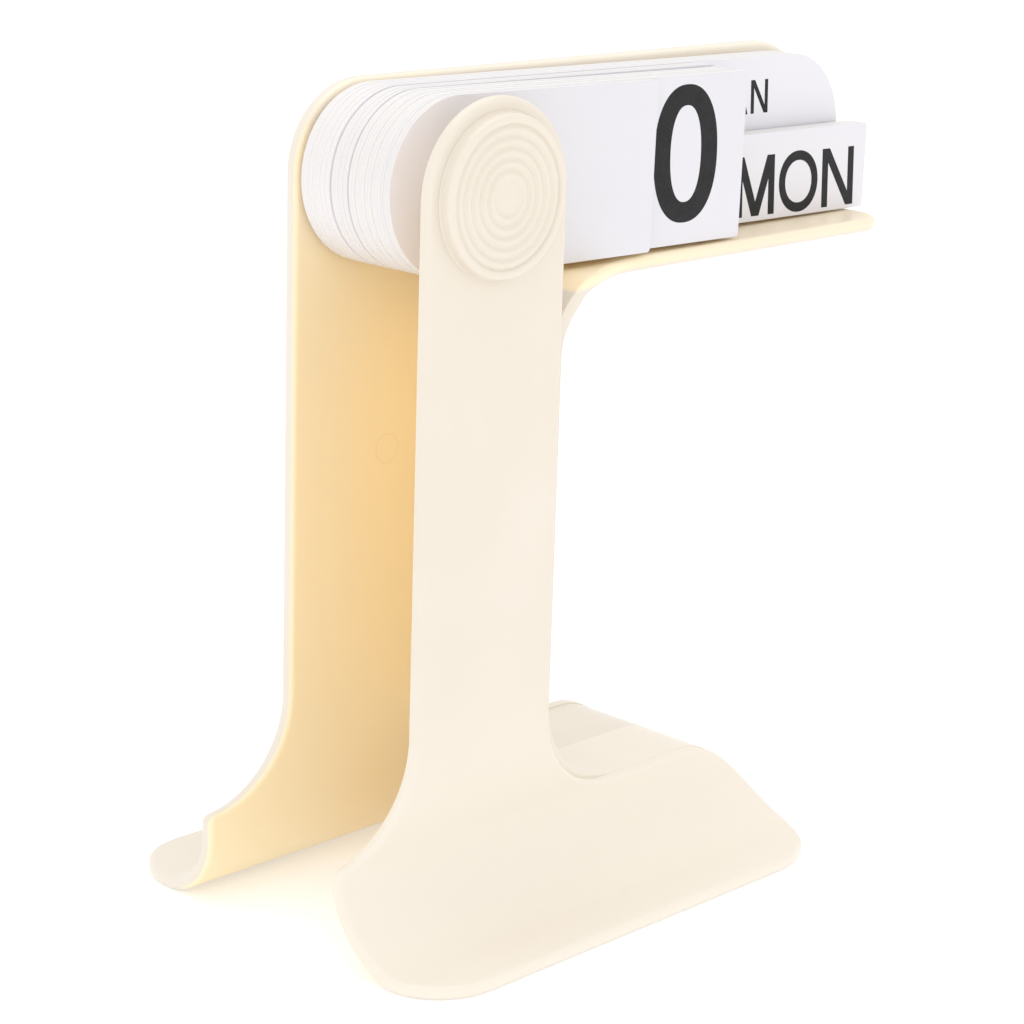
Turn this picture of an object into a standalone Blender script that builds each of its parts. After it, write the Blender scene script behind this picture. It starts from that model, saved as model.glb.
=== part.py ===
# Flip desk calendar: a moulded C-shaped stand carrying a stack of swinging cards
# on one pivot.  The date is read off the cards that lie on the arm; the cards not
# in use are flipped up and over the pivot and hang inside the hollow column.
#
# Row frame: +X along the arm, +Y to the back, +Z up, ground at Z = 0, origin at the
# middle of the footprint.  Lengths below are millimetres, turned into metres by MM.
import math
import bpy
import bmesh
from mathutils import Vector

MM = 0.001

# ---------------------------------------------------------------- driving dimensions
PIVOT_Z = 142.8            # height of the card pivot
X_LEFT = -38.0             # left end of both feet, measured from the pivot
FOOT_TIP_Y = (46.7, 44.5)  # front and rear foot tips
FRONT_T = 2.6              # wall of the front leg
REAR_T = 3.0               # wall of the rear panel
COLUMN_Y = 20.0            # outer faces of the column
FRONT_HALF = 18.3          # half width of the front leg, also its top radius
REAR_HALF = 17.4           # half width of the rear leg, also its top radius
REAR_RISE = 0.5            # the rear panel's round top sits this far above the pivot line's own
BEND_R = (20.0, 14.0)      # underside radius where each leg turns out into its foot
FOOT_TOP_Z = 18.9          # height of the feet's upper edges
FOOT_END_X = 61.5          # centre of the rounded right end of the feet
FOOT_END_R = 17.9
SHOULDER_R = 17.4          # ribbon, rounded shoulder at the right end
FLARE_R = 21.7             # left flare of the front leg
FLARE_R_REAR = 20.8
TOE_R = (14.6, 12.8)       # plan radius of the left toe corners, front and rear
FILLET_R = 19.0            # fillet between the column and the feet, right side

RIB_T = 3.0                # wall of the ribbon that joins the two legs
RIB_WEB_X = 20.8           # ribbon, right face of the column web
SHELF_Z = 120.5            # ribbon, underside of the card shelf
ARM_END = 136.4            # right end of the arm
ARM_END_R = 20.0           # upper right corner of the rear panel
SHELF_R = 11.5             # fillet under the shelf
SHELF_FRONT_Y = -7.5       # front edge of the card shelf
SHELF_CORNER_R = 8.0
LIP = 0.4                  # rear panel stands this far past the ribbon

AXLE_R = 4.0
AXLE_BORE_R = 2.9
HOLE_R = 4.3               # holes that the axle passes through
SPIGOT_R = 2.6
CAP_R = 15.5               # ringed cap at the front
CAP_T = 2.3
RING_FIRST = 3.2           # flat middle of the cap, inside the first ring
RING_PITCH = 2.05
REAR_CAP_R = 9.0
GAP = 0.3                  # clearance between neighbouring pieces

CARD_HALF = 17.34          # half height of a card, also its round end
STEP_Z = 1.6               # weekday cards: top of the low half, above the pivot line
STEP_X = 86.5              # weekday cards: where the low half starts
MONTH_END_R = 17.0
#         name prefix      count  length  first y  pitch  droop (degrees)  thickness
GROUPS = (("tens_card",      4,   55.4,   -8.70,  0.62,  1.00,  0.50),
          ("units_card",    10,   86.0,   -6.20,  0.87,  0.92,  0.75),
          ("weekday_card",   7,  140.0,    2.85,  0.63,  0.66,  0.51),
          ("month_card",    12,  135.0,    7.75,  0.66,  0.66,  0.54))
TENS = ("blank", "1", "2", "3")

# The object's middle along X: left end of the feet to the far corner of a weekday card
_d = math.radians(GROUPS[2][5])
X_RIGHT = GROUPS[2][2] * math.cos(_d) + STEP_Z * math.sin(_d)
MID_X = (X_LEFT + X_RIGHT) / 2.0
MID_Y = (FOOT_TIP_Y[1] - FOOT_TIP_Y[0]) / 2.0


# ---------------------------------------------------------------------- small helpers
def clear_scene():
    for ob in list(bpy.data.objects):
        bpy.data.objects.remove(ob, do_unlink=True)
    for me in list(bpy.data.meshes):
        if me.users == 0:
            bpy.data.meshes.remove(me)


def material(name, colour, roughness, metallic=0.0):
    mat = bpy.data.materials.new(name)
    mat.use_nodes = True
    bsdf = mat.node_tree.nodes["Principled BSDF"]
    bsdf.inputs["Base Color"].default_value = (*colour, 1.0)
    bsdf.inputs["Roughness"].default_value = roughness
    bsdf.inputs["Metallic"].default_value = metallic
    mat.diffuse_color = (*colour, 1.0)
    return mat


def arc(cx, cz, r, a0, a1, step=6.0, rz=None):
    """Points along an arc (an ellipse when rz is given), angles in degrees."""
    n = max(2, int(math.ceil(abs(a1 - a0) / step)))
    rz = r if rz is None else rz
    return [(cx + r * math.cos(math.radians(a0 + (a1 - a0) * i / n)),
             cz + rz * math.sin(math.radians(a0 + (a1 - a0) * i / n)))
            for i in range(n + 1)]


def tidy(points, tol=0.02):
    """Drop points that repeat their neighbour."""
    out = []
    for p in points:
        if not out or math.dist(p, out[-1]) > tol:
            out.append(p)
    if math.dist(out[0], out[-1]) <= tol:
        out.pop()
    return out


def wall_from_outline(name, outline, cuts, place):
    """A wall of even thickness: the flat outline (u, v) is split along v = cuts,
    then place(u, v, side) lays it on the wall's two faces, side 0 and side 1."""
    flat = bmesh.new()
    verts = [flat.verts.new((u, v, 0.0)) for u, v in tidy(outline)]
    flat.faces.new(verts)
    for v in cuts:
        bmesh.ops.bisect_plane(flat, geom=flat.verts[:] + flat.edges[:] + flat.faces[:],
                               dist=1e-5, plane_co=(0, v, 0), plane_no=(0, 1, 0))
    bmesh.ops.triangulate(flat, faces=flat.faces[:])
    flat.verts.ensure_lookup_table()
    bm = bmesh.new()
    sides = []
    for side in (0, 1):
        sides.append([bm.verts.new(Vector(place(v.co.x, v.co.y, side)) * MM) for v in flat.verts])
    for f in flat.faces:
        idx = [v.index for v in f.verts]
        bm.faces.new([sides[0][i] for i in idx])
        bm.faces.new([sides[1][i] for i in reversed(idx)])
    for e in flat.edges:
        if len(e.link_faces) == 1:
            a, b = e.verts[0].index, e.verts[1].index
            bm.faces.new([sides[0][a], sides[0][b], sides[1][b], sides[1][a]])
    flat.free()
    return finish_bmesh(name, bm)


def finish_bmesh(name, bm):
    bmesh.ops.recalc_face_normals(bm, faces=bm.faces[:])
    me = bpy.data.meshes.new(name)
    bm.to_mesh(me)
    bm.free()
    if sum(p.area * p.center.dot(p.normal) for p in me.polygons) < 0:
        me.flip_normals()
    return me


def add_object(name, me, mat, location=(0, 0, 0), parent=None):
    ob = bpy.data.objects.new(name, me)
    bpy.context.scene.collection.objects.link(ob)
    if mat is not None:
        me.materials.clear()
        me.materials.append(mat)
    ob.location = location
    ob.parent = parent
    return ob


def smooth(ob, angle=35.0):
    ob.data.shade_smooth()
    ob.data.set_sharp_from_angle(angle=math.radians(angle))


def turned(name, profile, segments=48):
    """A closed profile of (radius, y) turned about the Y axis."""
    bm = bmesh.new()
    rings = []
    for r, y in profile:
        if r < 1e-6:
            rings.append([bm.verts.new((0, y * MM, 0))])
        else:
            rings.append([bm.verts.new((r * MM * math.cos(2 * math.pi * k / segments), y * MM,
                                        r * MM * math.sin(2 * math.pi * k / segments)))
                          for k in range(segments)])
    for i in range(len(rings)):
        a, b = rings[i], rings[(i + 1) % len(rings)]
        for k in range(segments):
            j = (k + 1) % segments
            quad = [a[k % len(a)], a[j % len(a)], b[j % len(b)], b[k % len(b)]]
            quad = [q for n, q in enumerate(quad) if q not in quad[:n]]
            if len(quad) > 2:
                bm.faces.new(quad)
    return finish_bmesh(name, bm)


def apply_boolean(ob, other, operation):
    mod = ob.modifiers.new("cut", "BOOLEAN")
    mod.object = other
    mod.operation = operation
    mod.solver = "EXACT"
    deps = bpy.context.evaluated_depsgraph_get()
    me = bpy.data.meshes.new_from_object(ob.evaluated_get(deps))
    ob.modifiers.clear()
    mats = [m for m in ob.data.materials]
    ob.data = me
    me.materials.clear()
    for m in mats:
        me.materials.append(m)
    bpy.data.objects.remove(other, do_unlink=True)


def bore(ob, radius, y0, y1, parent):
    me = turned("bore", [(0, y0), (radius, y0), (radius, y1), (0, y1)], 32)
    cutter = add_object("bore", me, None, (0, 0, PIVOT_Z * MM), parent)
    bpy.context.view_layer.update()
    apply_boolean(ob, cutter, "DIFFERENCE")


# ------------------------------------------------------------- legs that turn into feet
def leg_place(front):
    """Lays developed leg coordinates (x, h) on the leg and its foot.  h is the height
    down to the bend; below it the wall turns outwards and ends flat on the ground."""
    t = FRONT_T if front else REAR_T
    bend = BEND_R[0 if front else 1]
    inner = COLUMN_Y - t
    centre = inner + bend
    mid_r = bend - t / 2.0
    bend_len = mid_r * math.pi / 2.0
    sign = -1.0 if front else 1.0

    def place(x, h, side):              # side 0: outer or upper face, side 1: inner or under face
        r = bend - t if side == 0 else bend
        s = bend - h
        if s <= 0:
            return (x, sign * (centre - r), h)
        if s <= bend_len:
            a = s / mid_r
            return (x, sign * (centre - r * math.cos(a)), bend - r * math.sin(a))
        return (x, sign * (centre + s - bend_len), bend - r)
    return place, centre, mid_r, bend_len, bend


def leg_cuts(bend, bend_len, steps=11):
    return [bend - bend_len * i / steps for i in range(steps + 1)]


def foot_end(top, h_tip, grow=0.0):
    """Rounded right end of a foot, from its top edge down to its tip."""
    middle = top - (top - h_tip) * 0.545
    return (arc(FOOT_END_X, middle, FOOT_END_R + grow, 90, 0, rz=top - middle) +
            arc(FOOT_END_X, middle, FOOT_END_R + grow, 0, -90, rz=middle - h_tip))


def toe_points(centre, mid_r, bend_len, bend, h_tip, tip_y, toe_r):
    """Left edge of a foot from its toe corner up to its straight left end."""
    pts = []
    n = 40
    start = bend - FOOT_TOP_Z + 1.0
    total = bend - h_tip
    for i in range(n + 1):
        s = total - (total - start) * i / n
        y = centre - mid_r * math.cos(s / mid_r) if s <= bend_len else centre + s - bend_len
        d = y - (tip_y - toe_r) if s > 0 else 0.0
        x = X_LEFT
        if d > 0:
            x = X_LEFT + toe_r - math.sqrt(max(0.0, toe_r ** 2 - min(d, toe_r) ** 2))
        if i == 0 or d > 0 or i == n:
            pts.append((x, bend - s))
    return pts


def flare_points(half, r):
    """Left flare, from the foot's top corner up to the column."""
    cx = -half - r
    zc = FOOT_TOP_Z + r
    a0 = -math.degrees(math.acos((X_LEFT - cx) / r)) if abs(X_LEFT - cx) < r else -90.0
    return arc(cx, zc, r, a0, 0.0)


def front_leg_mesh():
    place, centre, mid_r, bend_len, bend = leg_place(True)
    h_tip = bend - bend_len - (FOOT_TIP_Y[0] - centre)
    pts = arc(0, PIVOT_Z, FRONT_HALF, 180, 0)
    pts += arc(FRONT_HALF + FILLET_R, FOOT_TOP_Z + FILLET_R, FILLET_R, 180, 270)
    pts += foot_end(FOOT_TOP_Z, h_tip)
    pts += toe_points(centre, mid_r, bend_len, bend, h_tip, FOOT_TIP_Y[0], TOE_R[0])
    pts += flare_points(FRONT_HALF, FLARE_R)
    return wall_from_outline("front_leg", pts, leg_cuts(bend, bend_len), place)


def rear_panel_mesh():
    place, centre, mid_r, bend_len, bend = leg_place(False)
    h_tip = bend - bend_len - (FOOT_TIP_Y[1] - centre)
    top = FOOT_TOP_Z + LIP
    web, r_low, r_up = RIB_WEB_X + LIP, FILLET_R - LIP, SHELF_R - LIP
    under = SHELF_Z - LIP
    round_z = PIVOT_Z + REAR_RISE
    arm_top = round_z + REAR_HALF
    pts = arc(0, round_z, REAR_HALF, 180, 90)
    pts += arc(ARM_END + LIP - ARM_END_R, arm_top - ARM_END_R, ARM_END_R, 90, 0)
    pts += [(ARM_END + LIP, under)]
    pts += arc(web + r_up, under - r_up, r_up, 90, 180)
    pts += arc(web + r_low, top + r_low, r_low, 180, 270)
    pts += foot_end(top, h_tip, LIP)
    pts += toe_points(centre, mid_r, bend_len, bend, h_tip, FOOT_TIP_Y[1], TOE_R[1])
    pts += flare_points(REAR_HALF, FLARE_R_REAR)
    return wall_from_outline("rear_panel", pts, leg_cuts(bend, bend_len, 9), place)


# --------------------------------------------------------------------------- the ribbon
def ribbon_stations():
    """(x, z, nx, nz) along the ribbon's C-side face, from the arm's end to the ground.
    (nx, nz) points from that face into the wall."""
    st = []
    corner = SHELF_CORNER_R
    for i in range(9):                                   # rounded end of the shelf
        a = math.radians(90.0 * i / 8)
        st.append((ARM_END - corner + corner * math.cos(a), SHELF_Z, 0.0, 1.0))
    x = ARM_END - corner
    while x - 12.0 > 52.0:
        x -= 12.0
        st.append((x, SHELF_Z, 0.0, 1.0))
    for x in (52, 48, 44, 41, 38, 36):
        st.append((float(x), SHELF_Z, 0.0, 1.0))
    cx, cz = RIB_WEB_X + SHELF_R, SHELF_Z - SHELF_R      # under the shelf
    for px, pz in arc(cx, cz, SHELF_R, 90, 180, 7.5):
        st.append((px, pz, (px - cx) / SHELF_R, (pz - cz) / SHELF_R))
    cx, cz = RIB_WEB_X + FILLET_R, FOOT_TOP_Z + FILLET_R  # foot of the column
    for px, pz in arc(cx, cz, FILLET_R, 180, 270, 7.5):
        st.append((px, pz, (px - cx) / FILLET_R, (pz - cz) / FILLET_R))
    cx, cz = FOOT_END_X, FOOT_TOP_Z - SHOULDER_R          # shoulder at the right end
    for px, pz in arc(cx, cz, SHOULDER_R, 90, 0, 7.5):
        st.append((px, pz, -(px - cx) / SHOULDER_R, -(pz - cz) / SHOULDER_R))
    for z in (0.5, 0.15, 0.0):
        st.append((FOOT_END_X + SHOULDER_R, z, -1.0, 0.0))
    return st


def ribbon_edges(x, z):
    """Front and rear edge of the ribbon where its C-side face is at (x, z)."""
    front_in = COLUMN_Y - FRONT_T
    rear_in = COLUMN_Y - REAR_T
    yf = -(front_in - GAP)
    yr = rear_in + REAR_T / 2.0
    if z > SHELF_Z - SHELF_R - 0.01:                      # the shelf draws back from the front leg
        u = min(1.0, max(0.0, (x - 22.0) / 30.0))
        yf += (SHELF_FRONT_Y - yf) * u * u * (3 - 2 * u)
        over = x - (ARM_END - SHELF_CORNER_R)
        if over > 0:
            yf += SHELF_CORNER_R - math.sqrt(max(0.0, SHELF_CORNER_R ** 2 - over ** 2))
    else:                                                 # the shoulder follows the feet outwards
        bf, br = BEND_R
        if z < bf:
            yf = -(front_in + bf) + math.sqrt(max(0.0, (bf + GAP) ** 2 - (bf - z) ** 2))
            yf = max(yf, -28.0)
        if z < br:
            r = br - REAR_T / 2.0
            yr = (rear_in + br) - math.sqrt(max(0.0, r * r - (br - z) ** 2))
            yr = min(yr, 26.0)
        if z < 4.0:                                       # rounded lower corners
            cut = 6.0 * (1.0 - math.sqrt(max(0.0, 1.0 - ((4.0 - z) / 4.0) ** 2)))
            yf, yr = yf + cut, yr - cut
    return yf, yr


def ribbon_mesh():
    bm = bmesh.new()
    rings = []
    last = None
    for x, z, nx, nz in ribbon_stations():
        if last and math.dist(last, (x, z)) < 0.02:
            continue
        last = (x, z)
        yf, yr = ribbon_edges(x, z)
        xi, zi = x + nx * RIB_T, max(0.0, z + nz * RIB_T)
        rings.append([bm.verts.new(Vector(c) * MM) for c in
                      ((x, yf, z), (x, yr, z), (xi, yr, zi), (xi, yf, zi))])
    for a, b in zip(rings, rings[1:]):
        for k in range(4):
            j = (k + 1) % 4
            bm.faces.new([a[k], a[j], b[j], b[k]])
    bm.faces.new(rings[0])
    bm.faces.new(list(reversed(rings[-1])))
    bmesh.ops.triangulate(bm, faces=bm.faces[:])
    return finish_bmesh("ribbon", bm)


# ---------------------------------------------------------------------------- the cards
def card_outline(kind, length):
    h = CARD_HALF
    pts = arc(0, 0, h, 90, 270, 10)                       # round end about the pivot
    pts += arc(length - 0.8, -h + 0.8, 0.8, -90, 0, 45)
    if kind == "weekday_card":
        pts += arc(length - 1.2, STEP_Z - 1.2, 1.2, 0, 90, 30)
        pts += arc(STEP_X + 1.5, STEP_Z + 1.5, 1.5, 270, 180, 45)
        pts += arc(STEP_X - 0.8, h - 0.8, 0.8, 0, 90, 45)
    elif kind == "month_card":
        pts += arc(length - MONTH_END_R, h - MONTH_END_R, MONTH_END_R, 0, 90, 9)
    else:
        pts += arc(length - 0.8, h - 0.8, 0.8, 0, 90, 45)
    return tidy(pts)


def card_mesh(kind, length, thickness):
    """Flat card with a pivot hole.  Local origin on the pivot, front face at y = 0."""
    outline = card_outline(kind, length)
    n_hole = 16
    bm = bmesh.new()
    for y in (0.0, thickness * MM):
        loops = []
        for loop in (outline, [(HOLE_R * math.cos(2 * math.pi * k / n_hole),
                                HOLE_R * math.sin(2 * math.pi * k / n_hole)) for k in range(n_hole)]):
            vs = [bm.verts.new((px * MM, y, pz * MM)) for px, pz in loop]
            loops += [bm.edges.new((vs[i], vs[(i + 1) % len(vs)])) for i in range(len(vs))]
        bmesh.ops.triangle_fill(bm, use_beauty=True, use_dissolve=False, edges=loops,
                                normal=(0, -1, 0) if y == 0.0 else (0, 1, 0))
    bm.verts.ensure_lookup_table()
    half = len(bm.verts) // 2
    n_out = len(outline)
    for i in range(half):
        first, count = (0, n_out) if i < n_out else (n_out, n_hole)
        j = first + (i - first + 1) % count
        bm.faces.new([bm.verts[i], bm.verts[j], bm.verts[half + j], bm.verts[half + i]])
    return finish_bmesh(kind, bm)


# --------------------------------------------------------------------------- pivot parts
def ringed_cap_profile():
    """Front cap: a low disc whose face is turned into concentric rounded rings."""
    base = -(COLUMN_Y + GAP)
    prof = [(0.0, base - CAP_T + 0.4)]
    r = RING_FIRST
    prof.append((r, base - CAP_T + 0.4))
    while r + RING_PITCH < CAP_R - 1.7:
        prof.append((r + RING_PITCH / 2, base - CAP_T))
        prof.append((r + RING_PITCH, base - CAP_T + 0.4))
        r += RING_PITCH
    for k in range(5):                                    # rounded rim
        a = math.radians(90 - 90 * k / 4)
        prof.append((CAP_R - 1.0 + 1.0 * math.cos(a), base - CAP_T + 1.0 - 1.0 * math.sin(a)))
    prof += [(CAP_R, base), (SPIGOT_R, base), (SPIGOT_R, base + 7.0), (SPIGOT_R - 0.5, base + 7.6),
             (0.0, base + 7.6)]
    out = []
    for p in prof:
        if not out or math.dist(p, out[-1]) > 0.01:
            out.append(p)
    return out


def rear_cap_profile():
    base = COLUMN_Y + GAP
    prof = [(0.0, base + 1.6), (REAR_CAP_R - 1.2, base + 1.6)]
    for k in range(1, 4):
        a = math.radians(90 - 90 * k / 4)
        prof.append((REAR_CAP_R - 1.2 + 1.2 * math.cos(a), base + 0.4 + 1.2 * math.sin(a)))
    prof += [(REAR_CAP_R, base + 0.4), (REAR_CAP_R, base), (SPIGOT_R, base),
             (SPIGOT_R, base - 7.0), (SPIGOT_R - 0.5, base - 7.6), (0.0, base - 7.6)]
    return prof


# ------------------------------------------------------------------------------ assembly
def main():
    clear_scene()
    cream = (0.83, 0.74, 0.55)
    abs_front = material("abs_front_leg", cream, 0.32)
    abs_rear = material("abs_rear_frame", cream, 0.32)
    abs_cap = material("abs_pivot_cap", cream, 0.34)
    abs_rcap = material("abs_rear_cap", cream, 0.34)
    nylon = material("nylon_axle", (0.80, 0.79, 0.76), 0.40)
    spacer_m = material("nylon_spacer", (0.78, 0.77, 0.74), 0.42)

    root = bpy.data.objects.new("calendar_origin", None)
    bpy.context.scene.collection.objects.link(root)
    root.location = (-MID_X * MM, -MID_Y * MM, 0)
    pivot = bpy.data.objects.new("pivot_axis", None)
    bpy.context.scene.collection.objects.link(pivot)
    pivot.parent = root
    pivot.location = (0, 0, PIVOT_Z * MM)

    front = add_object("front_leg", front_leg_mesh(), abs_front, parent=root)
    bore(front, HOLE_R, -COLUMN_Y - 2, -COLUMN_Y + FRONT_T + 2, root)
    smooth(front)

    rear = add_object("rear_frame", rear_panel_mesh(), abs_rear, parent=root)
    ribbon = add_object("ribbon", ribbon_mesh(), None, parent=root)
    bpy.context.view_layer.update()
    apply_boolean(rear, ribbon, "UNION")
    bore(rear, HOLE_R, COLUMN_Y - REAR_T - 2, COLUMN_Y + 2, root)
    smooth(rear)

    cap = add_object("pivot_cap", turned("pivot_cap", ringed_cap_profile(), 40), abs_cap, parent=pivot)
    smooth(cap, 50)
    rcap = add_object("rear_cap", turned("rear_cap", rear_cap_profile(), 32), abs_rcap, parent=pivot)
    smooth(rcap)
    end = COLUMN_Y - 0.2
    axle = add_object("axle", turned("axle", [(AXLE_BORE_R, -end), (AXLE_R, -end), (AXLE_R, end),
                                              (AXLE_BORE_R, end)], 32), nylon, parent=pivot)
    smooth(axle)
    y0 = -(COLUMN_Y - FRONT_T - GAP)
    y1 = GROUPS[0][3] - GAP
    spacer = add_object("stack_spacer", turned("stack_spacer", [(HOLE_R, y0), (6.5, y0), (6.5, y1), (HOLE_R, y1)], 32),
                        spacer_m, parent=pivot)
    smooth(spacer)

    for kind, count, length, y_first, pitch, droop, thickness in GROUPS:
        mesh = card_mesh(kind, length, thickness)
        for i in range(count):
            if kind == "tens_card":
                label = TENS[i]
            elif kind == "units_card":
                label = str(i)
            elif kind == "weekday_card":
                label = str(i + 1)
            else:
                label = "%02d" % (i + 1)
            name = kind + "_" + label
            me = mesh.copy()
            me.name = name
            pvc = material("pvc_" + name, (0.86, 0.86, 0.88), 0.38)
            ob = add_object(name, me, pvc, (0, (y_first + pitch * i) * MM, 0), pivot)
            ob.rotation_euler = (0, math.radians(droop), 0)
            smooth(ob)
        bpy.data.meshes.remove(mesh)
    bpy.context.view_layer.update()


main()
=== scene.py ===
# Looks for the flip desk calendar: finely rounded mouldings, printed cards, studio.
import math
import bpy
import bmesh
from mathutils import Matrix, Vector

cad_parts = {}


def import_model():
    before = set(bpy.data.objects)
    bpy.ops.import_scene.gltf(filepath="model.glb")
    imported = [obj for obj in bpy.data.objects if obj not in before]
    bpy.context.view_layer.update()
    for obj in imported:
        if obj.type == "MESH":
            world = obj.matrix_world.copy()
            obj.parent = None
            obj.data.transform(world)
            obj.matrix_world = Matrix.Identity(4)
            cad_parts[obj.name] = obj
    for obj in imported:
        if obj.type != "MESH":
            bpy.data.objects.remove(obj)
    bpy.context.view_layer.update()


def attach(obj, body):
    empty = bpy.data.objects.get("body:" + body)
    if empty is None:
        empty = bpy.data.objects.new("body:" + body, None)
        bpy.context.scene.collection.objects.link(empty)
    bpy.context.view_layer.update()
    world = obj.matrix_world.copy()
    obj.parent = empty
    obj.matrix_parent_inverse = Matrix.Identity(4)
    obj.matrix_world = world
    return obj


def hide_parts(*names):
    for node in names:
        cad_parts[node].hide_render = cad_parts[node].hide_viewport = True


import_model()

MM = 0.001

# ------------------------------------------------------- dimensions shared with the CAD
PIVOT_Z = 142.8
X_LEFT = -38.0
FOOT_TIP_Y = (46.7, 44.5)
FRONT_T = 2.6
REAR_T = 3.0
COLUMN_Y = 20.0
FRONT_HALF = 18.3
REAR_HALF = 17.4
REAR_RISE = 0.5
BEND_R = (20.0, 14.0)
FOOT_TOP_Z = 18.9
FOOT_END_X = 61.5
FOOT_END_R = 17.9
SHOULDER_R = 17.4
FLARE_R = 21.7
FLARE_R_REAR = 20.8
TOE_R = (14.6, 12.8)
FILLET_R = 19.0
RIB_T = 3.0
RIB_WEB_X = 20.8
SHELF_Z = 120.5
ARM_END = 136.4
ARM_END_R = 20.0
SHELF_R = 11.5
SHELF_FRONT_Y = -7.5
SHELF_CORNER_R = 8.0
LIP = 0.4
AXLE_R = 4.0
AXLE_BORE_R = 2.9
HOLE_R = 4.3
CAP_R = 15.5
CAP_T = 2.3
RING_FIRST = 3.2
RING_PITCH = 2.05
REAR_CAP_R = 9.0
SPIGOT_R = 2.6
GAP = 0.3
CARD_HALF = 17.34
CARD_GAP = 0.04           # what shows between neighbouring cards of a group
STEP_Z = 1.6
STEP_X = 86.5
MONTH_END_R = 17.0
GROUPS = (("tens_card", 4, 55.4, -8.70, 0.62, 1.00),
          ("units_card", 10, 86.0, -6.20, 0.87, 0.92),
          ("weekday_card", 7, 140.0, 2.85, 0.63, 0.66),
          ("month_card", 12, 135.0, 7.75, 0.66, 0.66))
TENS = ("blank", "1", "2", "3")
DAYS = ("MON", "TUE", "WED", "THU", "FRI", "SAT", "SUN")
MONTHS = ("JAN", "FEB", "MAR", "APR", "MAY", "JUN", "JUL", "AUG", "SEP", "OCT", "NOV", "DEC")

# rounding of the moulded edges and how far the finer loops reach in
RIM = 1.0
HOLD = 0.25

_d = math.radians(GROUPS[2][5])
MID_X = (X_LEFT + GROUPS[2][2] * math.cos(_d) + STEP_Z * math.sin(_d)) / 2.0
MID_Y = (FOOT_TIP_Y[1] - FOOT_TIP_Y[0]) / 2.0


def world(p):
    return Vector(((p[0] - MID_X) * MM, (p[1] - MID_Y) * MM, p[2] * MM))


PIVOT = world((0, 0, PIVOT_Z))


# ------------------------------------------------------------------------ flat outlines
def arc(cx, cz, r, a0, a1, step=3.0, rz=None):
    n = max(2, int(math.ceil(abs(a1 - a0) / step)))
    rz = r if rz is None else rz
    return [(cx + r * math.cos(math.radians(a0 + (a1 - a0) * i / n)),
             cz + rz * math.sin(math.radians(a0 + (a1 - a0) * i / n)))
            for i in range(n + 1)]


def tidy(points, tol=0.03):
    out = []
    for p in points:
        if not out or math.dist(p, out[-1]) > tol:
            out.append((float(p[0]), float(p[1])))
    while len(out) > 2 and math.dist(out[0], out[-1]) <= tol:
        out.pop()
    area = sum(a[0] * b[1] - b[0] * a[1] for a, b in zip(out, out[1:] + out[:1]))
    return out if area > 0 else list(reversed(out))


def split_long(points, longest):
    """Extra points on long straight runs, so that the rims shade evenly."""
    out = []
    for a, b in zip(points, points[1:] + points[:1]):
        n = max(1, int(math.ceil(math.dist(a, b) / longest)))
        out += [(a[0] + (b[0] - a[0]) * k / n, a[1] + (b[1] - a[1]) * k / n) for k in range(n)]
    return out


def soften(points, cut, sharp=24.0):
    """Every corner sharper than that is trimmed back by cut along both sides and rounded."""
    pts = [Vector(p) for p in points]
    n = len(pts)
    corners = []
    for i in range(n):
        d1, d2 = pts[i] - pts[i - 1], pts[(i + 1) % n] - pts[i]
        if math.degrees(abs(d1.angle(d2))) > sharp:
            corners.append(i)
    drop, insert = set(), {}
    for i in corners:
        ends = []
        for step in (-1, 1):
            left, j, here = cut, i, pts[i]
            while True:
                nxt = pts[(j + step) % n]
                seg = (nxt - here).length
                if seg >= left:
                    ends.append((here + (nxt - here) * (left / seg), (here - nxt).normalized()))
                    break
                left -= seg
                j += step
                here = nxt
                drop.add(j % n)
        drop.add(i)
        (p0, t0), (p3, t3) = ends
        turn = abs(t0.angle(-t3))
        h = 4.0 / 3.0 * math.tan(turn / 4) * cut / math.tan(turn / 2)
        p1, p2 = p0 + t0 * h, p3 + t3 * h
        k = max(4, int(math.degrees(turn) / 10))
        insert[i] = []
        for m in range(k + 1):
            s = m / k
            q = p0 * (1 - s) ** 3 + p1 * 3 * s * (1 - s) ** 2 + p2 * 3 * s * s * (1 - s) + p3 * s ** 3
            insert[i].append((q.x, q.y))
    out = []
    for i in range(n):
        if i in insert:
            out += insert[i]
        elif i not in drop:
            out.append((pts[i].x, pts[i].y))
    return tidy(out)


def inward(points):
    """For each point of an anticlockwise outline, the step that moves it one unit in."""
    n = len(points)
    out = []
    for i in range(n):
        a, p, b = points[i - 1], points[i], points[(i + 1) % n]
        d1 = Vector((p[0] - a[0], p[1] - a[1])).normalized()
        d2 = Vector((b[0] - p[0], b[1] - p[1])).normalized()
        n1, n2 = Vector((-d1.y, d1.x)), Vector((-d2.y, d2.x))
        m = (n1 + n2) / max(0.35, 1.0 + n1.dot(n2))
        out.append(m)
    return out


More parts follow.
